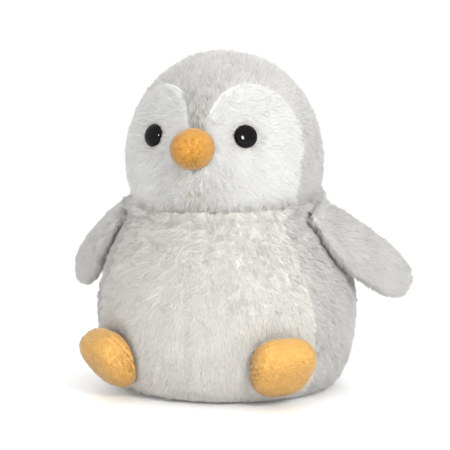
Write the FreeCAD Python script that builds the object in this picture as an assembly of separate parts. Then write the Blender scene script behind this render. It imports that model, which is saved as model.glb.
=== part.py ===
import FreeCAD, Part
import math
import os

from FreeCAD import Matrix, Placement, Rotation, Vector

# A sitting plush penguin, in millimetres and degrees.
# +Z is up, the penguin faces -Y, its own left is +X, and the origin is the
# centre of the flat base that it sits on.
# Angles "from the front" turn about Z from -Y towards +X.

# Driving dimensions -----------------------------------------------------------

BASE_RADIUS = 80.0
# Torso outline as (radius, height), from just above the base seam to the neck.
TORSO_OUTLINE = [(91.0, 11.0), (99.5, 36.0), (102.5, 62.0), (96.5, 93.0),
                 (86.5, 118.0), (77.5, 138.0), (74.5, 162.0)]
# The neck edge is higher at the back than under the chin.
NECK_HEIGHT = 150.0
NECK_SLOPE = 5.5
BASE_CLOTH = 3.0
BODY_PLUSH = 6.0
# The belly's side seam lies in a plane that leans towards the front as it rises.
BELLY_EDGE_ANGLE = 58.0
BELLY_EDGE_HEIGHT = 50.0
BELLY_EDGE_LEAN = 7.0
BODY_GAP = 0.4

HEAD_CENTRE = Vector(0, -6.5, 178.0)
HEAD_RADIUS = 77.3
HEAD_RISE = 84.5
HEAD_PLUSH = 5.0
GUSSET_HALF_WIDTH = 15.0
FACE_ANGLE = 36.0
FACE_EDGE_ANGLE = 65.0
FACE_LOBE_LIFT = 13.0
FACE_LOBE_HALF_WIDTH = 38.5
FACE_LOBE_HALF_HEIGHT = 46.0

EYE_ANGLE = 29.3
EYE_LIFT = 20.5
EYE_DIAMETER = 16.5
EYE_DOME = 7.5
# A point that the dome's arc passes through, as shares of the eye's radius and dome.
EYE_SHOULDER = (0.72, 0.70)
EYE_SINK = 3.4
SHANK_DIAMETER = 5.0
SHANK_LENGTH = 11.0
WASHER_DIAMETER = 16.0
WASHER_THICKNESS = 2.0
WASHER_GAP = 0.6

BEAK_OFFSET = Vector(0, -77.5, 11.0)
BEAK_HALF_SIZES = (16.2, 24.0, 15.3)
VELBOA = 1.6

NECK_PLUG_RADIUS = 26.0
NECK_PLUG_FOOT = 74.0

POUCH_RADIUS = 60.0
POUCH_FLOOR = 6.0
POUCH_TOP = 34.0
POUCH_CLOTH = 1.0

WING_PIVOT = Vector(76.5, -10.0, 137.0)
WING_HINGE = Vector(0, 0.963, 0.26)
WING_ROOT_RADIUS = 9.0
WING_ROOT_HALF_LENGTH = 20.0
# Stations from shoulder to tip: centre, direction across the wing from its front
# edge to its back edge, half width, half thickness.
WING_STATIONS = [
    (WING_PIVOT, Vector(0.04, 0.96, 0.29), 18.5, 7.0),
    (Vector(87.5, -9.0, 127.5), Vector(0.12, 0.92, 0.37), 23.0, 8.5),
    (Vector(98.5, -4.0, 116.0), Vector(0.22, 0.85, 0.48), 23.5, 8.5),
    (Vector(114.0, 9.5, 100.5), Vector(0.34, 0.73, 0.59), 22.0, 8.5),
    (Vector(127.0, 23.0, 87.5), Vector(0.43, 0.63, 0.65), 18.0, 8.0),
    (Vector(133.0, 29.5, 81.0), Vector(0.45, 0.60, 0.66), 13.5, 6.5),
    (Vector(136.5, 33.0, 77.5), Vector(0.45, 0.60, 0.66), 8.0, 5.0),
]
WING_ROUNDNESS = 2.2
WING_PLUSH = 3.5
# How far the splitting surface runs past the wing on every side.
WING_MARGIN = 20.0

FOOT_ANGLE = 39.0
FOOT_CENTRE_RADIUS = 104.5
FOOT_CENTRE_HEIGHT = 31.5
FOOT_HALF_WIDTH = 24.0
FOOT_HALF_LENGTH = 24.5
FOOT_HALF_THICKNESS = 15.0
# The outline and the padding are squarer than an ellipse, whose power is 2.
FOOT_SQUARENESS = 2.7
FOOT_TOE_SPREAD = 0.07
# Sections through the padding, as shares of its half thickness.
FOOT_SECTIONS = [-0.97, -0.8, -0.5, 0.0, 0.5, 0.8, 0.97]
FOOT_TILT = 50.0
# The seam lies nearer the upper, so that the sole wraps up round the edge.
SEAM_SHIFT = 5.0

OUTLINE_STEPS = 9
LOOP_POINTS = 16
Z_AXIS = Vector(0, 0, 1)
FAR = 400.0


# Geometry helpers -------------------------------------------------------------

def compass(angle, radius=1.0, height=0.0):
    """A point at an angle from the front, at a radius from Z and a height."""
    turn = math.radians(angle)
    return Vector(radius * math.sin(turn), -radius * math.cos(turn), height)


def spun(edges, axis=Z_AXIS):
    """The solid that a closed outline sweeps in a full turn about the axis."""
    return Part.Face(Part.Wire(edges)).revolve(Vector(0, 0, 0), axis, 360)


def polyline(points):
    return [Part.LineSegment(a, b).toShape() for a, b in zip(points, points[1:])]


def smooth_edge(points):
    curve = Part.BSplineCurve()
    curve.interpolate(points)
    return curve.toShape()


def oval(radius, half_height):
    """A solid of elliptical outline, round about Z."""
    return scaled(Part.makeSphere(radius), 1, 1, half_height / radius)


def loop(half_width, half_length, power, spread=0.0):
    """A closed, oval wire in the XY plane, squarer as the power rises and
    wider towards +Y by the spread."""
    points = []
    for step in range(LOOP_POINTS):
        turn = 2 * math.pi * step / LOOP_POINTS
        x = math.copysign(abs(math.cos(turn)) ** (2 / power), math.cos(turn))
        y = math.copysign(abs(math.sin(turn)) ** (2 / power), math.sin(turn))
        points.append(Vector(half_width * x * (1 + spread * y), half_length * y, 0))
    curve = Part.BSplineCurve()
    curve.interpolate(Points=points, PeriodicFlag=True)
    return Part.Wire([curve.toShape()])


def scaled(solid, x, y, z):
    stretch = Matrix()
    stretch.scale(x, y, z)
    return solid.transformGeometry(stretch)


def sector(start, sweep, bottom=-FAR, top=FAR):
    """Everything between two angles from the front, and between two heights."""
    wedge = Part.makeCylinder(FAR, top - bottom, Vector(0, 0, bottom), Z_AXIS, sweep)
    wedge.rotate(Vector(0, 0, 0), Z_AXIS, start - 90)
    return wedge


def slab(bottom, top):
    return Part.makeBox(2 * FAR, 2 * FAR, top - bottom, Vector(-FAR, -FAR, bottom))


def mirrored(solid):
    return solid.mirror(Vector(0, 0, 0), Vector(1, 0, 0))


def one_solid(shape):
    """The shape's largest solid."""
    return max(shape.Solids, key=lambda solid: solid.Volume)


def both_sides(make):
    """A limb's pieces on the left, and their mirror images on the right."""
    left = make("left")
    right = {name.replace("_left", "_right"): mirrored(piece)
             for name, piece in left.items()}
    return {**left, **right}


# Torso ------------------------------------------------------------------------

def head_seat():
    """The ball of space that the head turns in."""
    return Part.makeSphere(HEAD_RADIUS + BODY_GAP, HEAD_CENTRE)


def torso_blank(inset):
    """The torso's plain outer form, moved inwards by an inset."""
    outline = Part.BSplineCurve()
    outline.interpolate([Vector(BASE_RADIUS, 0, 0)]
                        + [Vector(r, 0, z) for r, z in TORSO_OUTLINE])
    points = []
    for step in range(OUTLINE_STEPS + 1):
        share = step / OUTLINE_STEPS
        at = outline.FirstParameter * (1 - share) + outline.LastParameter * share
        along = outline.tangent(at)[0]
        points.append(outline.value(at) + Vector(-along.z, 0, along.x) * inset)
    foot, head = points[0], points[-1]
    edges = [smooth_edge(points)]
    edges += polyline([head, Vector(0, 0, head.z), Vector(0, 0, foot.z), foot])
    return spun(edges)


def torso_form(inset):
    """The torso with the head's seat cut out."""
    above_neck = slab(0, FAR)
    above_neck.rotate(Vector(0, 0, 0), Vector(1, 0, 0), NECK_SLOPE)
    above_neck.translate(Vector(0, 0, NECK_HEIGHT))
    return torso_blank(inset).cut([above_neck, head_seat()])


def wing_root(gap):
    """The roll of cloth at the wing's hinge, grown by a gap."""
    roll = oval(WING_ROOT_RADIUS + gap, WING_ROOT_HALF_LENGTH + gap)
    roll.Placement = Placement(WING_PIVOT, Rotation(Z_AXIS, WING_HINGE))
    return roll


def pouch_form(inset):
    """The bean bag in the bottom: a round, pillow-edged disc."""
    bottom, top = POUCH_FLOOR + inset, POUCH_TOP - inset
    middle, rim = (bottom + top) / 2, POUCH_RADIUS - inset
    shoulder = rim - (top - bottom) / 2
    bulge = Part.Arc(Vector(shoulder, 0, bottom), Vector(rim, 0, middle),
                     Vector(shoulder, 0, top)).toShape()
    return spun([bulge] + polyline([Vector(shoulder, 0, top), Vector(0, 0, top),
                                    Vector(0, 0, bottom), Vector(shoulder, 0, bottom)]))


def neck_plug(gap):
    foot = HEAD_CENTRE + Vector(0, 0, NECK_PLUG_FOOT - gap - HEAD_CENTRE.z)
    return Part.makeCylinder(NECK_PLUG_RADIUS + gap, NECK_HEIGHT - foot.z, foot)


def belly_side():
    """The space in front of the left side seam."""
    lean = math.radians(BELLY_EDGE_LEAN)
    forwards = compass(BELLY_EDGE_ANGLE - 90, math.cos(lean), -math.sin(lean))
    half = Part.makeBox(2 * FAR, 2 * FAR, FAR, Vector(-FAR, -FAR, 0))
    half.Placement = Placement(Vector(0, 0, BELLY_EDGE_HEIGHT), Rotation(Z_AXIS, forwards))
    return half


def torso_parts():
    outer = torso_form(0.0)
    inner = torso_form(BODY_PLUSH).common(slab(BASE_CLOTH, FAR))
    dent = wing_root(BODY_GAP)
    dents = [dent, mirrored(dent)]
    skin = outer.common(slab(BASE_CLOTH, FAR)).cut([inner] + dents)
    left, front = skin.common(sector(0, 180)), belly_side()
    belly = one_solid(left.common(front))
    back = one_solid(left.cut(front))
    pouch = pouch_form(0.0)
    pellets = pouch_form(POUCH_CLOTH)
    return {
        "belly_left": belly,
        "belly_right": mirrored(belly),
        "back_left": back,
        "back_right": mirrored(back),
        "base_panel": one_solid(outer.common(slab(0, BASE_CLOTH))),
        "body_stuffing": one_solid(inner.cut(dents + [pouch, neck_plug(BODY_GAP)])),
        "pellet_pouch": pouch.cut(pellets),
        "pellets": pellets,
    }


def neck_parts():
    """The wad of stuffing in the neck, which turns in the torso under the head."""
    return {"neck_stuffing": one_solid(neck_plug(0.0).cut(head_seat()))}


# Head, built about its own centre ---------------------------------------------

def head_form(inset):
    """A ball below its widest line and a taller dome above it."""
    radius, rise = HEAD_RADIUS - inset, HEAD_RISE - inset
    foot, side, crown = Vector(0, 0, -radius), Vector(radius, 0, 0), Vector(0, 0, rise)
    ball = Part.Arc(foot, Vector(radius, 0, -radius) * math.sqrt(0.5), side).toShape()
    ellipse = Part.Ellipse(crown, side, Vector(0, 0, 0))
    dome = Part.Arc(ellipse, 0, math.pi / 2).toShape()
    return spun([ball, dome] + polyline([crown, foot]))


def eye_frame():
    """Where the left eye's axis leaves the fur, and which way it points."""
    rise = EYE_LIFT / HEAD_RISE
    radius = HEAD_RADIUS * math.sqrt(1 - rise ** 2)
    slope = rise / HEAD_RISE * HEAD_RADIUS ** 2 / radius
    return compass(EYE_ANGLE, radius, EYE_LIFT), compass(EYE_ANGLE, 1.0, slope).normalize()


def eye_parts():
    """The left eye with its shank, its washer, and the pocket that both need."""
    tip, outward = eye_frame()
    inward = outward * -1
    seat = tip + inward * EYE_SINK
    apex, rim = Vector(0, 0, EYE_DOME), Vector(EYE_DIAMETER / 2, 0, 0)
    across, up = EYE_SHOULDER
    dome = Part.Arc(apex, Vector(rim.x * across, 0, apex.z * up), rim).toShape()
    neck, end = Vector(SHANK_DIAMETER / 2, 0, 0), Vector(0, 0, -SHANK_LENGTH)
    eye = spun([dome] + polyline([rim, neck, neck + end, end, apex]))
    eye.Placement = Placement(seat, Rotation(Z_AXIS, outward))
    washer_face = tip + inward * (HEAD_PLUSH + WASHER_GAP)
    washer = Part.makeCylinder(WASHER_DIAMETER / 2, WASHER_THICKNESS, washer_face, inward)
    pocket = Part.makeCylinder(WASHER_DIAMETER / 2, 2 * WASHER_THICKNESS,
                               washer_face + outward * WASHER_THICKNESS, inward)
    return eye, washer.cut(eye), pocket


def face_region():
    """The left half of the white face: a round lobe over a straight-sided cheek."""
    centre = Vector(0, 0, FACE_LOBE_LIFT)
    across = compass(FACE_ANGLE + 90)
    ellipse = Part.Ellipse(centre + Z_AXIS * FACE_LOBE_HALF_HEIGHT,
                           centre + across * FACE_LOBE_HALF_WIDTH, centre)
    outline = Part.Face(Part.Wire([ellipse.toShape()]))
    lobe = outline.extrude(compass(FACE_ANGLE, 2 * HEAD_RADIUS))
    return lobe.fuse(sector(0, FACE_EDGE_ANGLE, -FAR, FACE_LOBE_LIFT))


def head_parts():
    outer = head_form(0.0)
    inner = head_form(HEAD_PLUSH)
    eye, washer, pocket = eye_parts()
    left = outer.cut(inner).common(sector(0, 180)).cut(eye)
    region = face_region()
    face = one_solid(left.common(region))
    grey = left.cut(region)
    strip = Part.makeBox(2 * GUSSET_HALF_WIDTH, 2 * FAR, 2 * FAR,
                         Vector(-GUSSET_HALF_WIDTH, -FAR, -FAR))
    half_gusset = one_solid(grey.common(strip))
    gusset = half_gusset.fuse(mirrored(half_gusset)).removeSplitter()
    side = one_solid(grey.cut(strip))
    pockets = [eye, pocket, mirrored(eye), mirrored(pocket)]
    pieces = {
        "crown_gusset": one_solid(gusset),
        "head_side_left": side,
        "head_side_right": mirrored(side),
        "face_left": face,
        "face_right": mirrored(face),
        "head_stuffing": one_solid(inner.cut(pockets)),
        "eye_left": eye,
        "eye_right": mirrored(eye),
        "eye_washer_left": washer,
        "eye_washer_right": mirrored(washer),
    }
    pieces.update(beak_parts(outer))
    for piece in pieces.values():
        piece.translate(HEAD_CENTRE)
    return pieces


def beak_form(inset):
    half_sizes = [size - inset for size in BEAK_HALF_SIZES]
    form = scaled(Part.makeSphere(1.0), *half_sizes)
    form.translate(BEAK_OFFSET)
    return form


def beak_parts(head):
    """The beak's two velboa halves and its filling, sitting on the face."""
    stuffing = one_solid(beak_form(VELBOA).cut(head))
    skin = beak_form(0.0).cut([head, stuffing])
    return {
        "beak_upper": one_solid(skin.common(slab(BEAK_OFFSET.z, FAR))),
        "beak_lower": one_solid(skin.common(slab(-FAR, BEAK_OFFSET.z))),
        "beak_stuffing": stuffing,
    }


# Wings ------------------------------------------------------------------------

def wing_frames():
    """At each station, X across the wing, Y out of its outer face, Z to the tip."""
    centres = [station[0] for station in WING_STATIONS]
    frames = []
    for index, (centre, across, half_width, half_thickness) in enumerate(WING_STATIONS):
        before, after = centres[max(index - 1, 0)], centres[index + 1:index + 2]
        along = ((after[0] if after else centre) - before).normalize()
        across = (across - along * across.dot(along)).normalize()
        frames.append(Placement(centre, Rotation(across, along.cross(across), along, "XYZ")))
    return frames


def wing_form(inset, body):
    """The whole wing in place: a twisted paddle on its root roll, pressed on the body."""
    frames = wing_frames()
    sections = []
    for frame, (centre, across, half_width, half_thickness) in zip(frames, WING_STATIONS):
        section = loop(half_width - inset, half_thickness - inset, WING_ROUNDNESS)
        section.Placement = frame
        sections.append(section)
    tip = frames[-1].Rotation.multVec(Vector(0, 0, -inset))
    sections[-1].translate(tip)
    paddle = Part.makeLoft(sections, True, False)
    return one_solid(paddle.cut(body).fuse(wing_root(-inset)))


def outer_side():
    """Everything outwards of the wing's middle surface, which twists with it."""
    frames = wing_frames()
    before, after = frames[0].copy(), frames[-1].copy()
    for frame, reach in ((before, -WING_MARGIN), (after, WING_MARGIN)):
        frame.Base = frame.Base + frame.Rotation.multVec(Vector(0, 0, reach))
    reach = max(station[2] for station in WING_STATIONS) + WING_MARGIN
    corners = [Vector(-reach, 0, 0), Vector(reach, 0, 0),
               Vector(reach, WING_MARGIN, 0), Vector(-reach, WING_MARGIN, 0)]
    sections = []
    for frame in [before] + frames + [after]:
        section = Part.Wire(polyline(corners + corners[:1]))
        section.Placement = frame
        sections.append(section)
    return Part.makeLoft(sections, True, True)


def wing_parts(side):
    outer = wing_form(0.0, torso_blank(-BODY_GAP))
    inner = wing_form(WING_PLUSH, torso_blank(-BODY_GAP - WING_PLUSH))
    skin = outer.cut(inner)
    outer_half = outer_side()
    return {
        "wing_outer_" + side: one_solid(skin.common(outer_half)),
        "wing_inner_" + side: one_solid(skin.cut(outer_half)),
        "wing_stuffing_" + side: inner,
    }


# Feet -------------------------------------------------------------------------

def foot_place():
    """X across the foot, Y from heel to toe, Z out of the sole."""
    across = compass(FOOT_ANGLE + 90)
    tilt = math.radians(FOOT_TILT)
    toe = compass(FOOT_ANGLE, math.cos(tilt), math.sin(tilt))
    centre = compass(FOOT_ANGLE, FOOT_CENTRE_RADIUS, FOOT_CENTRE_HEIGHT)
    return Placement(centre, Rotation(across, toe, across.cross(toe), "XYZ"))


def foot_form(inset, body):
    """The padded foot, pressed flat on the body at its back."""
    sections = []
    for share in FOOT_SECTIONS:
        size = (1 - abs(share) ** FOOT_SQUARENESS) ** (1 / FOOT_SQUARENESS)
        section = loop((FOOT_HALF_WIDTH - inset) * size, (FOOT_HALF_LENGTH - inset) * size,
                       FOOT_SQUARENESS, FOOT_TOE_SPREAD)
        section.translate(Vector(0, 0, share * (FOOT_HALF_THICKNESS - inset)))
        sections.append(section)
    pad = Part.makeLoft(sections, True, False)
    pad.Placement = foot_place()
    return one_solid(pad.cut(body))


def foot_parts(side):
    outer = foot_form(0.0, torso_blank(-BODY_GAP))
    inner = foot_form(VELBOA, torso_blank(-BODY_GAP - VELBOA))
    skin = outer.cut(inner)
    sole_half = slab(-SEAM_SHIFT, FAR)
    sole_half.Placement = foot_place()
    return {
        "foot_sole_" + side: one_solid(skin.common(sole_half)),
        "foot_upper_" + side: one_solid(skin.cut(sole_half)),
        "foot_stuffing_" + side: inner,
    }


# The whole penguin ------------------------------------------------------------

def main():
    parts = {}
    parts.update(torso_parts())
    parts.update(neck_parts())
    parts.update(head_parts())
    parts.update(both_sides(wing_parts))
    parts.update(both_sides(foot_parts))
    os.makedirs("parts", exist_ok=True)
    for name, solid in parts.items():
        if not solid.isValid() or len(solid.Solids) != 1:
            print("check", name, solid.isValid(), len(solid.Solids))
        solid.exportStep("parts/" + name + ".step")
    whole = Part.makeCompound(list(parts.values())).optimalBoundingBox()
    print(len(parts), "pieces; X %.1f to %.1f, Y %.1f to %.1f, Z %.1f to %.1f mm" % (
        whole.XMin, whole.XMax, whole.YMin, whole.YMax, whole.ZMin, whole.ZMax))


main()
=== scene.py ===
import math

import bpy
import numpy as np
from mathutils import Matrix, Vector, noise
from mathutils.kdtree import KDTree


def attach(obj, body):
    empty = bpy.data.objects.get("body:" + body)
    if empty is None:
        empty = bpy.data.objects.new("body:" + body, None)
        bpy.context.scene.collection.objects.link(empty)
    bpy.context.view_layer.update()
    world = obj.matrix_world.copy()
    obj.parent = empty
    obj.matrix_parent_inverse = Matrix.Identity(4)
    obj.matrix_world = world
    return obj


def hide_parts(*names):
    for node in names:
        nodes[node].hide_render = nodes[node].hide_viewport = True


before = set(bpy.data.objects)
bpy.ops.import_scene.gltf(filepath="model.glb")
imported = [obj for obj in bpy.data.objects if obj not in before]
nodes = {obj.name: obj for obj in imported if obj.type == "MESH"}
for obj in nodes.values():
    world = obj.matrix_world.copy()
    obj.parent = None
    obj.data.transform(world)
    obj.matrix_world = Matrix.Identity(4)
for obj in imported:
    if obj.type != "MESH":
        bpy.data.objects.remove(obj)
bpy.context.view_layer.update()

# A sitting plush penguin. Metres, +Z up, facing -Y, its own left is +X.
# Fabric panels are cut from the CAD shells, puffed by one cloth run per stuffed
# bag, drawn in along their seams and covered with a modelled pile of tufts.

MM = 0.001
RANDOM_SEED = 20417

HEAD_CENTRE = np.array([0.0, -6.5, 178.0]) * MM
HEAD_RADIUS = 77.3 * MM
HEAD_RISE = 84.5 * MM
EYE_ANGLE = 29.3
EYE_SPOT = np.array([72.0, 20.5]) * MM          # radius from the head's axis, rise
BEAK_CENTRE = HEAD_CENTRE + np.array([0.0, -77.5, 11.0]) * MM
# CHIN and CHIN_SHADOW place and size the painted shadow under the beak; SOCKET_RADIUS is how
# far round each eye the sockets' painted shade is full.
CHIN = HEAD_CENTRE + np.array([-4.0, -70.0, -22.0]) * MM
CHIN_SHADOW = np.array([32.0, 60.0, 34.0]) * MM
SOCKET_RADIUS = 8.5 * MM
GUSSET_HALF = 15.0 * MM
WING_PIVOT = np.array([76.5, -10.0, 137.0]) * MM
WING_DIRECTION = np.array([0.627, 0.457, -0.630])
FOOT_CENTRE_HEIGHT = 31.5 * MM
FOOT_INNER_ANGLE = 29.0
VELBOA_GRAIN = 1.2 * MM
BEAK_RIM = HEAD_RADIUS + 1.2 * MM               # from the head's centre

# The cloth runs. A puff is the furthest that a point of that bag may move.
PRESSURE = 4.0
SIMULATION_STEPS = 20
TORSO_PUFF = 2.2 * MM
HEAD_PUFF = 1.6 * MM
WING_PUFF = 1.5 * MM
FOOT_PUFF = 1.2 * MM
BEAK_PUFF = 0.8 * MM

random = np.random.default_rng(RANDOM_SEED)
noise.seed_set(RANDOM_SEED)          # noise_vector follows the clock until it is seeded


# Colours and materials --------------------------------------------------------

def linear(red, green, blue):
    """A shader colour from 0-255 screen values."""
    channels = []
    for value in (red, green, blue):
        share = value / 255
        channels.append(share / 12.92 if share < 0.04045
                        else ((share + 0.055) / 1.055) ** 2.4)
    return (*channels, 1.0)


def shaded(colour, amount):
    return tuple(channel * amount for channel in colour[:3]) + (1.0,)


def new_material(name):
    material = bpy.data.materials.new(name)
    material.use_nodes = True
    tree = material.node_tree
    shader = tree.nodes["Principled BSDF"]
    return material, tree, shader


def scaled_noise(tree, scale, detail=3.0, stretch=(1.0, 1.0, 1.0)):
    """A noise in the piece's own space; scale is in features per metre."""
    place = tree.nodes.new("ShaderNodeTexCoord")
    mapping = tree.nodes.new("ShaderNodeMapping")
    mapping.inputs["Scale"].default_value = stretch
    texture = tree.nodes.new("ShaderNodeTexNoise")
    texture.inputs["Scale"].default_value = scale
    texture.inputs["Detail"].default_value = detail
    tree.links.new(place.outputs["Object"], mapping.inputs["Vector"])
    tree.links.new(mapping.outputs["Vector"], texture.inputs["Vector"])
    return texture.outputs["Fac"]


def ramp(tree, factor, stops):
    node = tree.nodes.new("ShaderNodeValToRGB")
    elements = node.color_ramp.elements
    while len(elements) < len(stops):
        elements.new(0.5)
    for element, (position, colour) in zip(elements, stops):
        element.position = position
        element.color = colour
    tree.links.new(factor, node.inputs["Fac"])
    return node.outputs["Color"]


def mixed(tree, share, first, second):
    """Two linked colours, with this share of the second one."""
    node = tree.nodes.new("ShaderNodeMix")
    node.data_type = "RGBA"
    node.inputs["Factor"].default_value = share
    sockets = [socket for socket in node.inputs if socket.type == "RGBA"]
    for colour, socket in zip((first, second), sockets):
        tree.links.new(colour, socket)
    return [socket for socket in node.outputs if socket.type == "RGBA"][0]


def cloth_material(name, colour, dark, weave=900.0, patch=45.0, bump=0.6 * MM,
                   sheen=0.5, stretch=(1.0, 1.0, 1.0), rough=(0.8, 0.98)):
    """Fabric with a fine directional nap over broad, faint patches of shade. weave
    and patch are features per metre, and bump the height of the weave."""
    material, tree, shader = new_material(name)
    fine = scaled_noise(tree, weave, 4.0, stretch)
    broad = scaled_noise(tree, patch, 3.0)
    nap = ramp(tree, fine, [(0.32, dark), (0.62, colour)])
    patches = ramp(tree, broad, [(0.3, shaded(colour, 0.86)), (0.7, shaded(colour, 1.06))])
    tree.links.new(mixed(tree, 0.45, nap, patches), shader.inputs["Base Color"])
    spread = tree.nodes.new("ShaderNodeMapRange")
    spread.inputs["To Min"].default_value = rough[0]
    spread.inputs["To Max"].default_value = rough[1]
    tree.links.new(fine, spread.inputs["Value"])
    tree.links.new(spread.outputs["Result"], shader.inputs["Roughness"])
    relief = tree.nodes.new("ShaderNodeBump")
    relief.inputs["Strength"].default_value = 0.7
    relief.inputs["Distance"].default_value = bump
    tree.links.new(fine, relief.inputs["Height"])
    tree.links.new(relief.outputs["Normal"], shader.inputs["Normal"])
    shader.inputs["Sheen Weight"].default_value = sheen
    shader.inputs["Sheen Roughness"].default_value = 0.45
    shader.inputs["Specular IOR Level"].default_value = 0.1
    return material


def pile_shades(name, shadow, colour, levels=(0.84, 0.92, 1.0, 1.06, 1.12)):
    """The shades of one dyed pile: the darkest, which only a tint reaches, and
    then five from dark to light. A tuft takes one of them for its whole length."""
    shades = []
    for step, shade in enumerate([shadow] + [shaded(colour, level) for level in levels]):
        material, _, shader = new_material("%s_%d" % (name, step))
        shader.inputs["Base Color"].default_value = shade
        shader.inputs["Roughness"].default_value = 0.85
        shader.inputs["Sheen Weight"].default_value = 0.35
        shader.inputs["Sheen Roughness"].default_value = 0.4
        shader.inputs["Specular IOR Level"].default_value = 0.05
        shades.append(material)
    return shades


WHITE = linear(245, 245, 242)
CREAM = linear(250, 248, 241)
GREY = linear(220, 218, 214)
BEAK_ORANGE = linear(224, 166, 78)
BEAK_OCHRE = linear(186, 122, 50)
FOOT_ORANGE = linear(233, 184, 106)
FOOT_OCHRE = linear(202, 146, 74)
FIBRE, FIBRE_SHADE = linear(246, 246, 244), linear(222, 222, 220)
POUCH, POUCH_SHADE = linear(232, 230, 224), linear(204, 202, 196)
PLASTIC, PLASTIC_SHADE = linear(228, 230, 232), linear(190, 192, 196)

cloth = {
    "white_plush": cloth_material("white_backing", WHITE, shaded(WHITE, 0.9)),
    "cream_plush": cloth_material("cream_backing", CREAM, shaded(CREAM, 0.9)),
    "grey_plush": cloth_material("grey_backing", shaded(GREY, 0.95), shaded(GREY, 0.8)),
    "orange_velboa": cloth_material("orange_velboa", BEAK_ORANGE, BEAK_OCHRE,
                                    weave=1500.0, patch=60.0, bump=0.3 * MM,
                                    stretch=(1.0, 1.0, 0.4)),
    "sole_velboa": cloth_material("sole_velboa", FOOT_ORANGE, FOOT_OCHRE,
                                  weave=1500.0, patch=60.0, bump=0.3 * MM,
                                  stretch=(0.4, 1.0, 1.0)),
    "fibre_stuffing": cloth_material("fibre_fill", FIBRE, FIBRE_SHADE,
                                     weave=420.0, patch=30.0, bump=1.5 * MM, sheen=0.3),
    "pouch_cloth": cloth_material("pouch_cloth", POUCH, POUCH_SHADE,
                                  weave=1800.0, patch=80.0, bump=0.2 * MM, sheen=0.2),
    "pellet_plastic": cloth_material("pellet_plastic", PLASTIC, PLASTIC_SHADE,
                                     weave=260.0, patch=90.0, bump=1.0 * MM, sheen=0.0,
                                     rough=(0.3, 0.5)),
}

piles = {
    "white": pile_shades("white_pile", linear(206, 199, 183), WHITE,
                         (0.86, 0.93, 0.98, 1.02, 1.05)),
    "cream": pile_shades("cream_pile", linear(212, 206, 192), CREAM,
                         (0.87, 0.94, 0.98, 1.01, 1.03)),
    "grey": pile_shades("grey_pile", linear(170, 167, 162), GREY),
    "beak": pile_shades("beak_pile", linear(150, 92, 40), BEAK_ORANGE,
                        (0.66, 0.85, 1.0, 1.08, 1.18)),
    "foot": pile_shades("foot_pile", linear(160, 102, 48), FOOT_ORANGE,
                        (0.72, 0.88, 1.0, 1.06, 1.14)),
}


def plastic_material():
    """Polished black plastic with the faint haze of handling."""
    material, tree, shader = new_material("eye_gloss")
    haze = scaled_noise(tree, 500.0, 5.0)
    tree.links.new(ramp(tree, haze, [(0.3, linear(8, 7, 8)), (0.75, linear(16, 14, 15))]),
                   shader.inputs["Base Color"])
    spread = tree.nodes.new("ShaderNodeMapRange")
    spread.inputs["To Min"].default_value = 0.04
    spread.inputs["To Max"].default_value = 0.11
    tree.links.new(haze, spread.inputs["Value"])
    tree.links.new(spread.outputs["Result"], shader.inputs["Roughness"])
    shader.inputs["Specular IOR Level"].default_value = 0.12
    return material


# Mesh helpers -----------------------------------------------------------------

def mesh_object(name, points, faces):
    mesh = bpy.data.meshes.new(name)
    mesh.from_pydata([tuple(p) for p in points], [], [tuple(f) for f in faces])
    mesh.update()
    obj = bpy.data.objects.new(name, mesh)
    bpy.context.scene.collection.objects.link(obj)
    return obj


def smooth_shading(obj):
    obj.data.polygons.foreach_set("use_smooth", [True] * len(obj.data.polygons))


def coordinates(mesh):
    points = np.zeros(len(mesh.vertices) * 3, np.float32)
    mesh.vertices.foreach_get("co", points)
    return points.reshape(-1, 3).astype(float)


def vertex_normals(mesh):
    normals = np.zeros(len(mesh.vertices) * 3, np.float32)
    mesh.vertex_normals.foreach_get("vector", normals)
    return normals.reshape(-1, 3).astype(float)


def set_coordinates(mesh, points):
    mesh.vertices.foreach_set("co", points.astype(np.float32).ravel())
    mesh.update()


def unit(vectors):
    return vectors / np.maximum(np.linalg.norm(vectors, axis=-1, keepdims=True), 1e-12)


def search_tree(points):
    tree = KDTree(len(points))
    for index, point in enumerate(points):
        tree.insert(point, index)
    tree.balance()
    return tree


def evaluated_copy(obj, name):
    graph = bpy.context.evaluated_depsgraph_get()
    mesh = bpy.data.meshes.new_from_object(obj.evaluated_get(graph))
    mesh.name = name
    return mesh


def remeshed(name, sources, voxel):
    """One closed, evenly meshed object around the given CAD nodes."""
    points, faces, first = [], [], 0
    for source in sources:
        mesh = nodes[source].data
        points.append(coordinates(mesh))
        faces.extend([tuple(first + i for i in p.vertices) for p in mesh.polygons])
        first += len(mesh.vertices)
    rough = mesh_object(name + "_rough", np.vstack(points), faces)
    grid = rough.modifiers.new("Grid", "REMESH")
    grid.mode = "VOXEL"
    grid.voxel_size = voxel
    soften = rough.modifiers.new("Soften", "SMOOTH")
    soften.factor = 0.5
    soften.iterations = 3
    mesh = evaluated_copy(rough, name)
    bpy.data.objects.remove(rough)
    obj = bpy.data.objects.new(name, mesh)
    bpy.context.scene.collection.objects.link(obj)
    smooth_shading(obj)
    return obj


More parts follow.
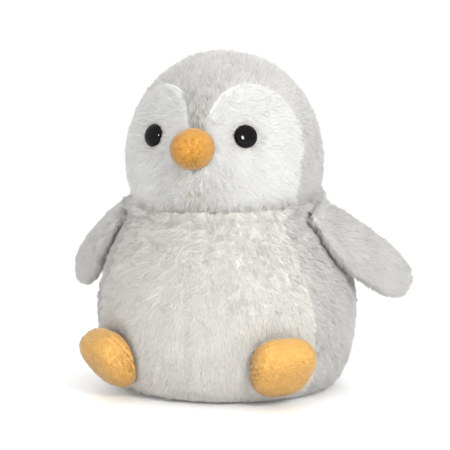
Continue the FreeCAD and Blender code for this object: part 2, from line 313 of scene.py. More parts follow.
def puffed(bag, cap, seams):
    """How far each point of a stuffed bag moves when the filling presses it out.
    seams says for each point how firmly it is held, from 0 to 1."""
    rest = coordinates(bag.data)
    held = bag.vertex_groups.new(name="seams")
    for index in np.nonzero(seams > 0.02)[0]:
        held.add([int(index)], float(seams[index]), "REPLACE")
    cloth_run = bag.modifiers.new("Stuffing", "CLOTH")
    settings = cloth_run.settings
    settings.quality = 5
    settings.mass = 0.3
    settings.tension_stiffness = 12
    settings.compression_stiffness = 12
    settings.shear_stiffness = 6
    settings.bending_stiffness = 0.4
    settings.vertex_group_mass = "seams"
    settings.pin_stiffness = 1.0
    settings.use_pressure = True
    settings.uniform_pressure_force = PRESSURE
    settings.effector_weights.gravity = 0
    scene = bpy.context.scene
    for step in range(1, SIMULATION_STEPS + 1):
        scene.frame_set(step)
    mesh = evaluated_copy(bag, "puffed")
    moved = coordinates(mesh) - rest
    bpy.data.meshes.remove(mesh)
    bag.modifiers.remove(cloth_run)
    scene.frame_set(1)
    length = np.linalg.norm(moved, axis=1, keepdims=True)
    return moved * np.minimum(1.0, cap / np.maximum(length, 1e-9))


class Bag:
    """A stuffed bag: its outer form, its outward normals and its puffed shape. No
    point moves further than cap, hold(points) says how firmly each is held, and
    form(points) gives an exact outer form where there is a formula for it."""

    def __init__(self, name, sources, voxel, cap, hold, form=None):
        self.form = form
        body = remeshed(name, sources, voxel)
        self.points = coordinates(body.data)
        self.normals = vertex_normals(body.data)
        self.moves = puffed(body, cap, hold(self.points))
        bpy.data.objects.remove(body)
        self.tree = search_tree(self.points)

    def beside(self, points):
        """Depth under the outer form, outward normal and puff at each point."""
        depths = np.zeros(len(points))
        normals = np.zeros((len(points), 3))
        moves = np.zeros((len(points), 3))
        for row, point in enumerate(points):
            found = self.tree.find_n(point, 4)
            picked = [item[1] for item in found]
            weights = np.array([1 / (item[2] + 1e-4) for item in found])
            weights /= weights.sum()
            normal = weights @ self.normals[picked]
            normal /= max(np.linalg.norm(normal), 1e-9)
            depths[row] = (weights @ self.points[picked] - point) @ normal
            normals[row] = normal
            moves[row] = weights @ self.moves[picked]
        if self.form is not None:
            depths, normals = self.form(points)
        return depths, normals, moves


def lumps(points, size, seed):
    """Uneven stuffing, from -1 to 1, with lumps of about that size."""
    offset = Vector((seed * 3.7, seed * 1.3, seed * 2.1))
    return np.array([noise.noise(Vector(p) / size + offset) for p in points])


# Fabric panels ----------------------------------------------------------------

# Pairs of CAD panels that look like one piece, as their seam is hidden in the nap.
SEAMLESS = {"beak": ["beak_upper", "beak_lower"]}

SEAM_SHARE = 0.4            # how deep in a shell points still draw their neighbour's seam
OUTER_SHARE = 0.35          # how deep in a shell points still carry pile
BAG_SHARE = 0.75            # of the pile's facing is the bag's and the rest the panel's
LUMP_SIZE = 28.0 * MM       # of the filling, as it shows through the panels
WADDING_SIZE = 12.0 * MM    # of the filling's own tufts


class Panel:
    """One sewn panel: its piece, which points are on its outer face, and the
    way that the pile on each point faces."""

    def __init__(self, obj, outer, normals):
        self.obj = obj
        self.outer = outer
        self.normals = normals


def finish_padded(obj, body, slot, replaced):
    """Gives a soft piece its cloth and its body, and hides the CAD nodes that it stands for.
    """
    smooth_shading(obj)
    obj.data.materials.append(cloth[slot])
    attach(obj, body)
    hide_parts(*replaced)


def sewn_panels(bag, names, body, slot, voxel, shell, pile, groove, lump, seed,
                dimples=(), furred=None):
    """Cuts soft panels from CAD shells. shell is the CAD shell's thickness, pile the
    depth left for the pile, groove how deep the seams are drawn in and lump how
    uneven the filling makes it. dimples are (place, depth, width), and
    furred(points) says, from 0 to 1, where the pile's depth is left free."""
    made, grounds = {}, {}
    for name in names:
        obj = remeshed(name + "_fabric", SEAMLESS.get(name, [name]), voxel)
        points = coordinates(obj.data)
        depths, normals, moves = bag.beside(points)
        grounds[name] = (obj, points, depths, normals, moves)
    for name in names:
        obj, points, depths, normals, moves = grounds[name]
        inside = np.clip(depths / shell, 0.0, 1.0)
        sink = pile * (1.0 - inside)
        if furred is not None:
            sink = sink * furred(points)
        others = [grounds[other][1][grounds[other][2] < SEAM_SHARE * shell]
                  for other in names if other != name]
        others = [group for group in others if len(group)]
        if others and groove:
            tree = search_tree(np.vstack(others))
            gaps = np.array([tree.find(point)[2] for point in points])
            sink = sink + groove * np.exp(-(gaps / (2.2 * groove)) ** 2) * (1 - 0.5 * inside)
        sink = sink - lump * lumps(points, LUMP_SIZE, seed)
        for centre, depth, width in dimples:
            away = np.linalg.norm(points - centre, axis=1)
            sink = sink + depth * np.exp(-(away / width) ** 2)
        set_coordinates(obj.data, points + moves - normals * sink[:, None])
        finish_padded(obj, body, slot, SEAMLESS.get(name, [name]))
        trust = BAG_SHARE * (np.ones(len(points)) if furred is None else furred(points))
        facing = unit(trust[:, None] * normals
                      + (1 - trust[:, None]) * vertex_normals(obj.data))
        made[name] = Panel(obj, depths < OUTER_SHARE * shell, facing)
    return made


def stuffing(name, body, slot="fibre_stuffing", voxel=4.0 * MM, lump=1.2 * MM,
             drawn_in=0.6 * MM):
    """The CAD's stuffing made uneven, as hand-filled wadding is. It is drawn in by
    drawn_in, and by lump more at its hollows."""
    obj = remeshed(name + "_wadding", [name], voxel)
    points = coordinates(obj.data)
    normals = vertex_normals(obj.data)
    depth = drawn_in + lump * (0.5 + 0.5 * lumps(points, WADDING_SIZE, len(name)))
    set_coordinates(obj.data, points - normals * depth[:, None])
    finish_padded(obj, body, slot, [name])


# Pile -------------------------------------------------------------------------

ROOT_DEPTH = 0.4 * MM
DRIFT_SIZE = 16.0 * MM          # across a patch of locks that stray one way
SEAM_REACH = 4.5 * MM           # from a seam, in which the nap leans over it


def roots_on(panel, density):
    """Points spread evenly over a panel's outer face, with their normals."""
    mesh = panel.obj.data
    mesh.calc_loop_triangles()
    corners = np.zeros(len(mesh.loop_triangles) * 3, np.int32)
    mesh.loop_triangles.foreach_get("vertices", corners)
    corners = corners.reshape(-1, 3)
    corners = corners[panel.outer[corners].all(axis=1)]
    points, normals = coordinates(mesh), panel.normals
    a, b, c = (points[corners[:, k]] for k in range(3))
    areas = np.linalg.norm(np.cross(b - a, c - a), axis=1) / 2
    total = np.cumsum(areas)
    count = int(total[-1] * density * 1e6)
    spots = (np.arange(count) + random.random(count)) / count * total[-1]
    picked = np.minimum(np.searchsorted(total, spots), len(corners) - 1)
    u, v = random.random(count), random.random(count)
    flip = u + v > 1
    u[flip], v[flip] = 1 - u[flip], 1 - v[flip]
    shares = np.stack([1 - u - v, u, v], axis=1)[:, :, None]
    where = (points[corners[picked]] * shares).sum(axis=1)
    facing = unit((normals[corners[picked]] * shares).sum(axis=1))
    return where, facing


def tufts_mesh(name, roots, tips, facing, widths, tones):
    """Closed, tapering three-sided tufts; tones picks each one's shade. They are
    shaded mostly as the cloth under them faces, as soft fibres scatter light."""
    count = len(roots)
    along = unit(tips - roots)
    side = unit(np.cross(along, unit(random.normal(size=(count, 3)))))
    other = np.cross(along, side)
    rings = []
    for corner in range(3):
        turn = corner * 2 * math.pi / 3
        offset = side * math.cos(turn) + other * math.sin(turn)
        rings.append(roots + offset * (widths / 2)[:, None])
    points = np.stack(rings + [tips], axis=1).reshape(-1, 3)
    pattern = np.array([2, 1, 0, 0, 1, 3, 1, 2, 3, 2, 0, 3])
    first = np.arange(count)[:, None]
    mesh = bpy.data.meshes.new(name)
    mesh.vertices.add(len(points))
    mesh.vertices.foreach_set("co", points.astype(np.float32).ravel())
    mesh.loops.add(count * 12)
    mesh.loops.foreach_set("vertex_index", (first * 4 + pattern).astype(np.int32).ravel())
    mesh.polygons.add(count * 4)
    mesh.polygons.foreach_set("loop_start", np.arange(0, count * 12, 3, dtype=np.int32))
    mesh.polygons.foreach_set("use_smooth", np.ones(count * 4, bool))
    mesh.polygons.foreach_set("material_index", np.repeat(tones, 4).astype(np.int32))
    mesh.update(calc_edges=True)
    soft = mesh.attributes.new("custom_normal", "FLOAT_VECTOR", "POINT")
    soft.data.foreach_set("vector", np.repeat(facing, 4, axis=0).astype(np.float32).ravel())
    return mesh


def grow_pile(name, panels, body, shades, comb, density, length, width, lift,
              clump, clump_size, wander, uneven, trim=None, tint=None, only=None,
              speckle=0.8):
    """Grows combed, clumped pile on panels. density is tufts per square
    millimetre, length and width are a tuft's, and lift its angle off the cloth.
    clump is how far tips draw together, clump_size the square millimetres that
    one lock takes, wander how far locks stray from comb(points), and uneven how
    much lengths differ. trim(points) scales the length, tint(points) darkens by
    so many shades, and only(points, normals) says where the pile grows."""
    where, facing = zip(*[roots_on(panel, density) for panel in panels])
    roots, normals = np.vstack(where), np.vstack(facing)
    if only is not None:
        kept = only(roots, normals)
        roots, normals = roots[kept], normals[kept]
    count = len(roots)
    locks = np.sort(random.choice(count, max(8, int(count / density / clump_size)), False))
    lock_points, lock_normals = roots[locks], normals[locks]
    tree = search_tree(lock_points)
    lock_of = np.array([tree.find(point)[1] for point in roots])
    drift = np.array([noise.noise_vector(Vector(p) / DRIFT_SIZE) for p in lock_points])
    nap = comb(lock_points) + wander * (drift + 0.5 * random.normal(size=drift.shape))
    nap = unit(nap - lock_normals * (nap * lock_normals).sum(axis=1, keepdims=True))
    tall = length * (1 + uneven * random.normal(size=len(locks)).clip(-1.5, 1.5) * 0.5)
    rise = np.radians(lift + 9.0 * random.normal(size=len(locks)))
    lock_tips = lock_points + tall[:, None] * (nap * np.cos(rise)[:, None]
                                               + lock_normals * np.sin(rise)[:, None])
    own_nap = nap[lock_of] + 0.35 * random.normal(size=(count, 3))
    own_nap = unit(own_nap - normals * (own_nap * normals).sum(axis=1, keepdims=True))
    own_rise = (rise[lock_of] + 0.12 * random.normal(size=count))[:, None]
    own_length = tall[lock_of] * (1 + uneven * 0.5 * random.normal(size=count).clip(-2, 1.2))
    if trim is not None:
        own_length = own_length * trim(roots)
    own_length = own_length[:, None]
    tips = roots + own_length * (own_nap * np.cos(own_rise) + normals * np.sin(own_rise))
    pull = clump * random.uniform(0.6, 1.2, (count, 1))
    if trim is not None:
        pull = pull * np.clip(trim(roots), 0, 1)[:, None]
    tips = tips * (1 - pull) + lock_tips[lock_of] * pull
    widths = width * random.uniform(0.7, 1.25, count)
    tone = (3.0 + 1.0 * drift[lock_of, 0] + speckle * random.normal(size=count)).clip(1, 5)
    # Tints take tufts down by whole shades: painted shade, and the cloth's darker seams,
    # edges and grain.
    if tint is not None:
        tone = tone - tint(roots)
    facing = unit(normals + 0.3 * unit(tips - roots) + 0.22 * random.normal(size=(count, 3)))
    mesh = tufts_mesh(name, roots - normals * ROOT_DEPTH, tips, facing, widths,
                      np.clip(np.rint(tone), 0, 5).astype(int))
    for material in shades:
        mesh.materials.append(material)
    obj = bpy.data.objects.new(name, mesh)
    bpy.context.scene.collection.objects.link(obj)
    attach(obj, body)
    return obj


def over_seams(points, seams):
    """Leans the nap over seams that run fore and aft at these distances across."""
    lean = np.zeros((len(points), 3))
    for seam in seams:
        off = points[:, 0] - seam
        lean[:, 0] -= 0.9 * np.sign(off) * np.exp(-(off / SEAM_REACH) ** 2)
    return lean


def towards(x, y, z):
    return lambda points: np.tile(unit(np.array([x, y, z], float)), (len(points), 1))


def compass(angle, radius, height):
    turn = math.radians(angle)
    return np.array([radius * math.sin(turn), -radius * math.cos(turn), height])


# Torso ------------------------------------------------------------------------

BELLY_EDGE_ANGLE = 58.0
BELLY_EDGE_HEIGHT = 50.0 * MM
BELLY_EDGE_LEAN = 7.0
NECK_HEIGHT = 150.0 * MM
NECK_SLOPE = 5.5
WALL_MIDDLE = 70.0 * MM      # the wall's pile is grown in a lower and an upper part
BASE_FLAT = 70.0 * MM        # further out than this, the base curls up
SEAM_WIDTH = 6.0 * MM        # how far a seam's hold on the torso's bag reaches


def over_neck(points):
    """Height over the neck edge, which rises towards the back."""
    return points[:, 2] - NECK_HEIGHT - points[:, 1] * math.tan(math.radians(NECK_SLOPE))


def belly_seam_gap(points):
    """Distance from the leaning plane of the belly's side seams."""
    lean = math.radians(BELLY_EDGE_LEAN)
    across = compass(BELLY_EDGE_ANGLE - 90, math.cos(lean), -math.sin(lean))
    folded = points.copy()
    folded[:, 0] = np.abs(folded[:, 0])
    return np.abs((folded - [0, 0, BELLY_EDGE_HEIGHT]) @ across)


def torso_hold(points):
    """The torso's bag is held at its seams, its base and its neck."""
    held = 0.9 * np.exp(-(belly_seam_gap(points) / SEAM_WIDTH) ** 2)
    middle = np.exp(-(points[:, 0] / SEAM_WIDTH) ** 2)
    held = np.maximum(held, np.where(points[:, 1] > 0, 0.9, 0.35) * middle)
    held = np.maximum(held, (points[:, 2] < SEAM_WIDTH) * 1.0)
    seat = np.linalg.norm(points - HEAD_CENTRE, axis=1) < HEAD_RADIUS + SEAM_WIDTH
    return np.maximum(held, seat * 1.0)


def off_the_seat(points):
    """No room is left for pile where the head's underside sits."""
    away = np.linalg.norm(points - HEAD_CENTRE, axis=1)
    return np.clip((away - HEAD_RADIUS - 0.6 * MM) / (4.0 * MM), 0, 1)


torso_bag = Bag("torso_bag", ["belly_left", "belly_right", "back_left", "back_right",
                              "base_panel", "body_stuffing", "pellet_pouch", "pellets",
                              "neck_stuffing"],
                voxel=5.0 * MM, cap=TORSO_PUFF, hold=torso_hold)
bellies = sewn_panels(torso_bag, ["belly_left", "belly_right"], "torso", "cream_plush",
                      voxel=1.8 * MM, shell=6.0 * MM, pile=4.4 * MM,
                      groove=0.6 * MM, lump=1.2 * MM, seed=3, furred=off_the_seat)
backs = sewn_panels(torso_bag, ["back_left", "back_right"], "torso", "grey_plush",
                    voxel=1.8 * MM, shell=6.0 * MM, pile=4.4 * MM,
                    groove=1.0 * MM, lump=1.0 * MM, seed=5, furred=off_the_seat)
base = sewn_panels(torso_bag, ["base_panel"], "torso", "grey_plush",
                   voxel=1.5 * MM, shell=3.0 * MM, pile=0.3 * MM,
                   groove=0.0, lump=0.4 * MM, seed=7)
base_mesh = base["base_panel"].obj.data
rim = coordinates(base_mesh)
drawn = np.clip((np.hypot(rim[:, 0], rim[:, 1]) - BASE_FLAT) / (12.0 * MM), 0, 1)
rim[:, :2] *= (1 - 0.045 * drawn)[:, None]
rim[:, 2] += 1.2 * MM * drawn
set_coordinates(base_mesh, rim)
stuffing("body_stuffing", "torso")
stuffing("neck_stuffing", "neck", voxel=3.0 * MM)
stuffing("pellet_pouch", "torso", "pouch_cloth", voxel=0.7 * MM, lump=0.0,
         drawn_in=0.0)
stuffing("pellets", "torso", "pellet_plastic", voxel=2.0 * MM, lump=0.8 * MM,
         drawn_in=0.4 * MM)


def belly_comb(points):
    """The belly's nap hangs down and closes over the middle seam."""
    return unit(over_seams(points, [0.0]) + [0.0, -0.15, -1.0])


def back_comb(points):
    """The back's nap hangs down and closes over the middle seam."""
    return unit(over_seams(points, [0.0]) + [0.0, 0.1, -1.0])


def outer_wall(points, normals):
    """The torso's wall, without the seat that the head turns in."""
    out = (normals[:, :2] * unit(points[:, :2])).sum(axis=1)
    return (out > 0.25) & (over_neck(points) < 0.0)


def lower_wall(points, normals):
    return outer_wall(points, normals) & (points[:, 2] < WALL_MIDDLE)


def upper_wall(points, normals):
    return outer_wall(points, normals) & (points[:, 2] >= WALL_MIDDLE)


def base_trim(points):
    """The pile shortens where it meets the floor."""
    return np.clip(0.55 + points[:, 2] / (18.0 * MM), 0.5, 1.0)


def lip(points, normals):
    """The rounded fold at the neck edge, outside the head's seat."""
    out = (normals[:, :2] * unit(points[:, :2])).sum(axis=1)
    return (over_neck(points) > -10.0 * MM) & (out > -0.3) & (out < 0.35)


def outwards(points):
    """Outwards and down, as the nap falls over the neck edge."""
    return unit(0.5 * unit(points * [1.0, 1.0, 0.0]) + [0.0, 0.0, -1.0])


for side in ("left", "right"):
    for part, only in (("lower", lower_wall), ("upper", upper_wall)):
        grow_pile("belly_pile_%s_%s" % (part, side), [bellies["belly_" + side]], "torso",
                  piles["cream"],
                  comb=belly_comb, density=3.8, length=5.6 * MM, width=0.46 * MM, lift=46.0,
                  clump=0.22, clump_size=8.0, wander=0.6, uneven=0.2, trim=base_trim,
                  only=only)
        grow_pile("back_pile_%s_%s" % (part, side), [backs["back_" + side]], "torso",
                  piles["grey"],
                  comb=back_comb, density=2.6, length=5.6 * MM, width=0.54 * MM, lift=46.0,
                  clump=0.28, clump_size=9.0, wander=0.5, uneven=0.2, trim=base_trim,
                  only=only)
    grow_pile("belly_lip_" + side, [bellies["belly_" + side]], "torso",
              piles["cream"],
              comb=outwards, density=3.8, length=6.2 * MM, width=0.46 * MM, lift=62.0,
              clump=0.2, clump_size=8.0, wander=0.6, uneven=0.2, only=lip)
    grow_pile("back_lip_" + side, [backs["back_" + side]], "torso",
              piles["grey"],
              comb=outwards, density=2.6, length=6.2 * MM, width=0.54 * MM, lift=62.0,
              clump=0.25, clump_size=8.0, wander=0.6, uneven=0.2, only=lip)


# Head -------------------------------------------------------------------------

eye_spots = [HEAD_CENTRE + compass(side * EYE_ANGLE, EYE_SPOT[0], EYE_SPOT[1])
             for side in (1, -1)]


def head_hold(points):
    """The head's bag is held by the eyes' washers, the beak, the gusset's two
    seams and the neck."""
    held = np.zeros(len(points))
    for spot in eye_spots:
        away = np.linalg.norm(points - spot, axis=1)
        held = np.maximum(held, np.exp(-(away / (10.0 * MM)) ** 2))
    away = np.linalg.norm(points - BEAK_CENTRE, axis=1)
    held = np.maximum(held, np.exp(-(away / (18.0 * MM)) ** 2))
    for seam in (-GUSSET_HALF, GUSSET_HALF):
        across = np.abs(points[:, 0] - seam)
        above = points[:, 2] > HEAD_CENTRE[2] + 30.0 * MM
        held = np.maximum(held, 0.6 * above * np.exp(-(across / (4.0 * MM)) ** 2))
    return np.maximum(held, (points[:, 2] < HEAD_CENTRE[2] - 28.0 * MM) * 1.0)


def head_form(points):
    """Depth under the head's outer form and its outward normal: a ball below its
    widest line and a taller dome above it."""
    away = points - HEAD_CENTRE
    sizes = np.full(away.shape, HEAD_RADIUS)
    sizes[away[:, 2] > 0, 2] = HEAD_RISE
    share = np.linalg.norm(away / sizes, axis=1)
    slope = away / sizes ** 2
    return (1 - share) * share / np.linalg.norm(slope, axis=1), unit(slope)


HEAD_FABRIC = ["crown_gusset", "head_side_left", "head_side_right", "face_left", "face_right"]
head_bag = Bag("head_bag", HEAD_FABRIC + ["head_stuffing"], voxel=5.0 * MM, cap=HEAD_PUFF,
               hold=head_hold, form=head_form)
dimples = [(spot, 1.8 * MM, 12.0 * MM) for spot in eye_spots]
dimples.append((BEAK_CENTRE + np.array([0.0, 4.0, 0.0]) * MM, 1.2 * MM, 22.0 * MM))
head_grey = sewn_panels(head_bag, HEAD_FABRIC[:3], "head", "grey_plush",
                        voxel=1.7 * MM, shell=5.0 * MM, pile=3.8 * MM,
                        groove=1.0 * MM, lump=0.8 * MM, seed=11, dimples=dimples)
faces = sewn_panels(head_bag, HEAD_FABRIC[3:], "head", "white_plush",
                    voxel=1.5 * MM, shell=5.0 * MM, pile=3.4 * MM,
                    groove=0.7 * MM, lump=0.8 * MM, seed=11, dimples=dimples)
stuffing("head_stuffing", "head", drawn_in=3.0 * MM)


def head_comb(points):
    """The head's nap runs back over the crown and down its sides."""
    over = unit(np.cross(points - HEAD_CENTRE, [1.0, 0.0, 0.0]))
    high = np.clip((points[:, 2] - HEAD_CENTRE[2] - 20.0 * MM) / (45.0 * MM), 0, 1)[:, None]
    lean = over_seams(points, [GUSSET_HALF, -GUSSET_HALF])
    return unit(high * (over + lean) + (1 - high) * np.array([0.0, 0.45, -1.0]))


def peak_comb(points):
    """From the beak the nap runs up over the forehead and the crown to the nape."""
    return unit(unit(np.cross(points - HEAD_CENTRE, [1.0, 0.0, 0.0]))
                + over_seams(points, [GUSSET_HALF, -GUSSET_HALF]))


def peak_painted_shade(points):
    """Painted shade: the forehead's point is darker just over the beak, in streaks that run
    up it.
    """
    away = np.linalg.norm(points - (BEAK_CENTRE + [0.0, 0.0, 20.0 * MM]), axis=1)
    streaks = lumps(points * [1.0, 0.3, 0.3], 1.6 * MM, 6)
    return (2.4 + 3.6 * streaks) * np.exp(-(away / (30.0 * MM)) ** 2)


def face_comb(points):
    """The face's nap runs outwards from the middle, back and down."""
    outward = np.tanh(points[:, 0] / (12.0 * MM))
    nap = np.stack([0.9 * outward, np.full(len(points), 0.55), np.full(len(points), -0.8)],
                   axis=1)
    return unit(nap + over_seams(points, [0.0]))


def eye_trim(points):
    """The pile is clipped short close round each eye."""
    keep = np.ones(len(points))
    for spot in eye_spots:
        away = np.linalg.norm(points - spot, axis=1)
        keep = np.minimum(keep, np.clip((away - 5.5 * MM) / (6.0 * MM), 0.55, 1.0))
    return keep


def above_seat(points, normals):
    """What shows of the head when it is level or nods."""
    return over_neck(points) > -14.0 * MM


def at_neck(points, normals):
    """The ring of head pile that hangs over the neck seam."""
    return np.abs(over_neck(points) - 3.5 * MM) < 4.5 * MM


def chin_and_socket_shade(points):
    """Painted shade: the face greys under the beak and in the sockets round the eyes."""
    away = (points - CHIN) / CHIN_SHADOW
    # Painted shadow under the beak, mottled a little.
    grey = (2.0 + 1.2 * lumps(points, 3.0 * MM, 4)) * np.exp(-(away ** 2).sum(axis=1))
    # Painted shade in the socket round each eye.
    for spot in eye_spots:
        away = np.linalg.norm(points - spot, axis=1)
        rim = np.maximum(away - SOCKET_RADIUS, 0) / (7.0 * MM)
        grey = grey + 1.7 * np.exp(-rim ** 2)
    return grey


out_and_down = towards(0, 0, -1)

for side in ("left", "right"):
    grey_side, face = head_grey["head_side_" + side], faces["face_" + side]
    grow_pile("head_pile_" + side, [grey_side], "head", piles["grey"],
              comb=head_comb, density=2.9, length=5.0 * MM, width=0.5 * MM, lift=42.0,
              clump=0.28, clump_size=8.0, wander=0.3, uneven=0.2, trim=eye_trim,
              only=above_seat)
    grow_pile("face_pile_" + side, [face], "head", piles["white"],
              comb=face_comb, density=4.0, length=5.0 * MM, width=0.44 * MM, lift=44.0,
              clump=0.25, clump_size=8.0, wander=0.25, uneven=0.15, trim=eye_trim,
              tint=chin_and_socket_shade, only=above_seat)
    grow_pile("neck_fringe_grey_" + side, [grey_side], "head", piles["grey"],
              comb=out_and_down, density=2.0, length=8.8 * MM, width=0.5 * MM, lift=50.0,
              clump=0.25, clump_size=9.0, wander=0.4, uneven=0.3, only=at_neck)
    grow_pile("neck_fringe_white_" + side, [face], "head", piles["white"],
              comb=out_and_down, density=2.6, length=9.0 * MM, width=0.44 * MM, lift=50.0,
              clump=0.22, clump_size=9.0, wander=0.4, uneven=0.3, tint=chin_and_socket_shade,
              only=at_neck)
grow_pile("crown_pile", [head_grey["crown_gusset"]], "head", piles["grey"],
          comb=peak_comb, density=3.2, length=4.8 * MM, width=0.5 * MM, lift=40.0,
          clump=0.25, clump_size=7.0, wander=0.22, uneven=0.15, trim=eye_trim,
          tint=peak_painted_shade, only=above_seat)


# Eyes -------------------------------------------------------------------------

EYE_RADIUS = 8.7 * MM
EYE_HEIGHT = 5.4 * MM
EYE_SEAT = 3.4 * MM
SHANK_RADIUS = 2.4 * MM
SHANK_LENGTH = 4.0 * MM
EYE_FACETS = 48


def turned(name, outline, place, axis):
    """A closed turned part: outline is (radius, height) pairs up from its foot."""
    rings, faces = [], []
    for radius, height in outline:
        for step in range(EYE_FACETS):
            turn = step * 2 * math.pi / EYE_FACETS
            rings.append((radius * math.cos(turn), radius * math.sin(turn), height))
    for ring in range(len(outline) - 1):
        for step in range(EYE_FACETS):
            following = (step + 1) % EYE_FACETS
            low, high = ring * EYE_FACETS, (ring + 1) * EYE_FACETS
            faces.append((low + step, low + following, high + following, high + step))
    faces.append(tuple(reversed(range(EYE_FACETS))))
    faces.append(tuple(range((len(outline) - 1) * EYE_FACETS, len(outline) * EYE_FACETS)))
    obj = mesh_object(name, rings, faces)
    stand = Vector(axis).to_track_quat("Z", "Y").to_matrix()
    spun = np.array(rings) @ np.array(stand).T + place
    set_coordinates(obj.data, spun)
    smooth_shading(obj)
    return obj


def eye_outline():
    """The shank, a flat back, a rolled rim and a lens-shaped dome."""
    outline = [(SHANK_RADIUS, -SHANK_LENGTH), (SHANK_RADIUS, -0.3 * MM),
               (EYE_RADIUS - 0.9 * MM, 0.0), (EYE_RADIUS - 0.2 * MM, 0.35 * MM)]
    for step in range(1, 25):
        turn = math.radians(3.72 * step)
        outline.append((EYE_RADIUS * math.cos(turn) ** 0.8,
                        0.9 * MM + (EYE_HEIGHT - 0.9 * MM) * math.sin(turn)))
    return outline


gloss = plastic_material()
for side, sign in (("left", 1), ("right", -1)):
    reach = HEAD_RADIUS * math.sqrt(1 - (EYE_SPOT[1] / HEAD_RISE) ** 2)
    surface = compass(sign * EYE_ANGLE, reach, EYE_SPOT[1])
    outward = unit(surface / [HEAD_RADIUS ** 2, HEAD_RADIUS ** 2, HEAD_RISE ** 2])
    eyeball = turned("eyeball_" + side, eye_outline(),
                     HEAD_CENTRE + surface - outward * EYE_SEAT, outward)
    eyeball.data.materials.append(gloss)
    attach(eyeball, "head")
    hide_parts("eye_" + side)
    washer = nodes["eye_washer_" + side]
    washer.data.materials.clear()
    washer.data.materials.append(cloth["pellet_plastic"])


# Beak -------------------------------------------------------------------------

def beak_hold(points):
    """The beak's bag is held where it is sewn to the head."""
    return (np.linalg.norm(points - HEAD_CENTRE, axis=1) < BEAK_RIM) * 1.0


def beak_shade_rim_and_grain(points):
    """The beak's velboa is browner low down, which is painted shade, and at its seam rim, and
    it is speckled by its grain.
    """
    # Painted shade: darker low down.
    low = (BEAK_CENTRE[2] - points[:, 2]) / (10.0 * MM)
    away = np.linalg.norm(points - HEAD_CENTRE, axis=1)
    rim = np.clip(1 - (away - BEAK_RIM) / (3.5 * MM), 0, 1)
    return 0.6 * low + 2.6 * rim + 2.6 * lumps(points, VELBOA_GRAIN, 8)


beak_bag = Bag("beak_bag", ["beak_upper", "beak_lower", "beak_stuffing"],
               voxel=1.6 * MM, cap=BEAK_PUFF, hold=beak_hold)
beaks = sewn_panels(beak_bag, ["beak"], "head", "orange_velboa",
                    voxel=0.7 * MM, shell=1.6 * MM, pile=0.8 * MM,
                    groove=0.0, lump=0.3 * MM, seed=17)
stuffing("beak_stuffing", "head", voxel=1.5 * MM, lump=0.6 * MM,
         drawn_in=0.8 * MM)
grow_pile("beak_nap", list(beaks.values()), "head", piles["beak"],
          comb=towards(0, 0.8, -0.3), density=11.0, length=1.4 * MM, width=0.27 * MM,
          lift=40.0, clump=0.1, clump_size=3.0, wander=0.8, uneven=0.25, tint=beak_shade_rim_and_grain,
          speckle=1.0)


# Wings ------------------------------------------------------------------------

def wing_painted_shade(points):
    """Painted shade: the wings' plush is drawn about half a shade darker than the head's."""
    return np.full(len(points), 0.6)


def wing_hold(points):
    """A wing's bag is held where it is sewn to the shoulder."""
    folded = points * [np.sign(points[0, 0]), 1, 1]
    return (np.linalg.norm(folded - WING_PIVOT, axis=1) < 20.0 * MM) * 1.0


for side, sign in (("left", 1), ("right", -1)):
    body = "wing_" + side
    names = ["wing_outer_" + side, "wing_inner_" + side]
    bag = Bag(body + "_bag", names + ["wing_stuffing_" + side], voxel=3.0 * MM,
              cap=WING_PUFF, hold=wing_hold)
    sleeves = sewn_panels(bag, names, body, "grey_plush",
                          voxel=1.3 * MM, shell=3.5 * MM, pile=2.4 * MM,
                          groove=1.0 * MM, lump=0.6 * MM, seed=21)
    stuffing("wing_stuffing_" + side, body, voxel=2.5 * MM, lump=0.8 * MM,
             drawn_in=0.8 * MM)
    down = towards(sign * WING_DIRECTION[0], WING_DIRECTION[1], WING_DIRECTION[2])
    grow_pile(body + "_pile", list(sleeves.values()), body, piles["grey"],
              comb=down, density=2.8, length=5.6 * MM, width=0.52 * MM, lift=38.0,
              clump=0.22, clump_size=8.0, wander=0.35, uneven=0.2, tint=wing_painted_shade)


# Feet -------------------------------------------------------------------------

def foot_shade_edge_and_grain(points):
    """The soles darken towards the floor, which is painted shade, and brown along their inner
    edge, and they are speckled by their grain.
    """
    # Painted shade: darker towards the floor.
    low = np.clip((FOOT_CENTRE_HEIGHT - points[:, 2]) / (20.0 * MM), -1, 1)
    around = np.degrees(np.arctan2(np.abs(points[:, 0]), -points[:, 1]))
    inner = np.clip((FOOT_INNER_ANGLE - around) / 3.0, 0, 1)
    return 0.5 * low + 2.2 * inner + 2.2 * lumps(points, VELBOA_GRAIN, 9)


def foot_hold(points):
    """A foot's bag is free to swell all round."""
    return np.zeros(len(points))


for side, sign in (("left", 1), ("right", -1)):
    body = "foot_" + side
    names = ["foot_sole_" + side, "foot_upper_" + side]
    bag = Bag(body + "_bag", names + ["foot_stuffing_" + side], voxel=2.5 * MM,
              cap=FOOT_PUFF, hold=foot_hold)
    pads = sewn_panels(bag, names, body, "sole_velboa",
                       voxel=0.7 * MM, shell=1.6 * MM, pile=0.9 * MM,
                       groove=0.6 * MM, lump=0.4 * MM, seed=23)
    stuffing("foot_stuffing_" + side, body, voxel=2.0 * MM, lump=0.6 * MM,
             drawn_in=1.0 * MM)
    grow_pile(body + "_nap", list(pads.values()), body, piles["foot"],
              comb=towards(sign * 0.8, 0.6, -0.1), density=6.0, length=1.4 * MM,
              width=0.32 * MM, lift=38.0, clump=0.1, clump_size=3.0, wander=0.8, uneven=0.25,
              tint=foot_shade_edge_and_grain, speckle=1.0)


# Floor, light and camera ------------------------------------------------------

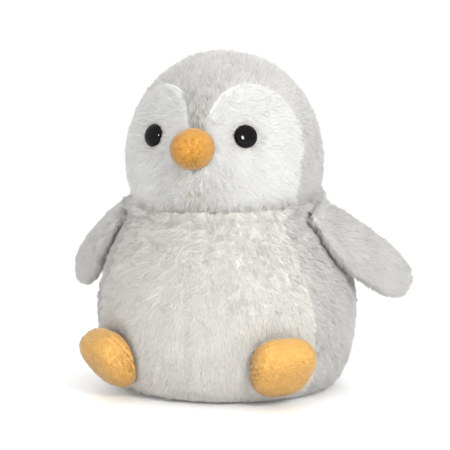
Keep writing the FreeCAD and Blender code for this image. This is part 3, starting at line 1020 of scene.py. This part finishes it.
def studio():
    scene = bpy.context.scene
    scene.view_settings.view_transform = "Standard"
    world = bpy.data.worlds.new("studio")
    world.use_nodes = True
    world.node_tree.nodes["Background"].inputs["Color"].default_value = (1, 1, 1, 1)
    world.node_tree.nodes["Background"].inputs["Strength"].default_value = 1.1
    scene.world = world
    floor = mesh_object("floor", [(-6, -6, 0), (6, -6, 0), (6, 6, 0), (-6, 6, 0)],
                        [(0, 1, 2, 3)])
    material, tree, shader = new_material("floor_paper")
    grain = scaled_noise(tree, 300.0, 3.0)
    tree.links.new(ramp(tree, grain, [(0.3, linear(253, 253, 253)),
                                      (0.7, linear(254, 254, 254))]),
                   shader.inputs["Base Color"])
    shader.inputs["Roughness"].default_value = 0.9
    floor.data.materials.append(material)
    for name, place, size, power in (("key", (0.92, -1.08, 0.78), 0.45, 13.5),
                                     ("front", (-0.5, -1.5, 0.6), 1.2, 2.0),
                                     ("top", (0.2, 0.3, 1.5), 0.9, 1.5),
                                     ("back", (-0.6, 1.4, 0.9), 1.0, 6.0),
                                     ("catch", (0.60, -1.40, 0.56), 0.40, 40.0)):
        lamp = bpy.data.lights.new(name, "AREA")
        lamp.shape = "DISK"
        lamp.size = size
        lamp.energy = power
        obj = bpy.data.objects.new(name, lamp)
        scene.collection.objects.link(obj)
        obj.location = place
        obj.rotation_mode = "QUATERNION"
        aim = Vector((0, 0, 0.13)) - Vector(place)
        obj.rotation_quaternion = aim.to_track_quat("-Z", "Y")
        obj.visible_diffuse = name != "catch"
        obj.visible_glossy = name == "catch"


CAMERA_AZIMUTH = 17.0
CAMERA_ELEVATION = 5.5
CAMERA_DISTANCE = 1.2
CAMERA_TARGET = Vector((0, 0, 0.131))
CAMERA_LENS = 122.8
CAMERA_SHIFT = (-0.0044, -0.0156)


def camera():
    data = bpy.data.cameras.new("camera")
    data.sensor_width = 36.0
    data.lens = CAMERA_LENS
    data.shift_x, data.shift_y = CAMERA_SHIFT
    data.clip_start, data.clip_end = 0.05, 50
    obj = bpy.data.objects.new("camera", data)
    bpy.context.scene.collection.objects.link(obj)
    turn, rise = math.radians(CAMERA_AZIMUTH), math.radians(CAMERA_ELEVATION)
    back = Vector((math.sin(turn) * math.cos(rise), -math.cos(turn) * math.cos(rise),
                   math.sin(rise)))
    obj.location = CAMERA_TARGET + back * CAMERA_DISTANCE
    obj.rotation_mode = "QUATERNION"
    obj.rotation_quaternion = (-back).to_track_quat("-Z", "Y")
    bpy.context.scene.camera = obj


studio()
camera()
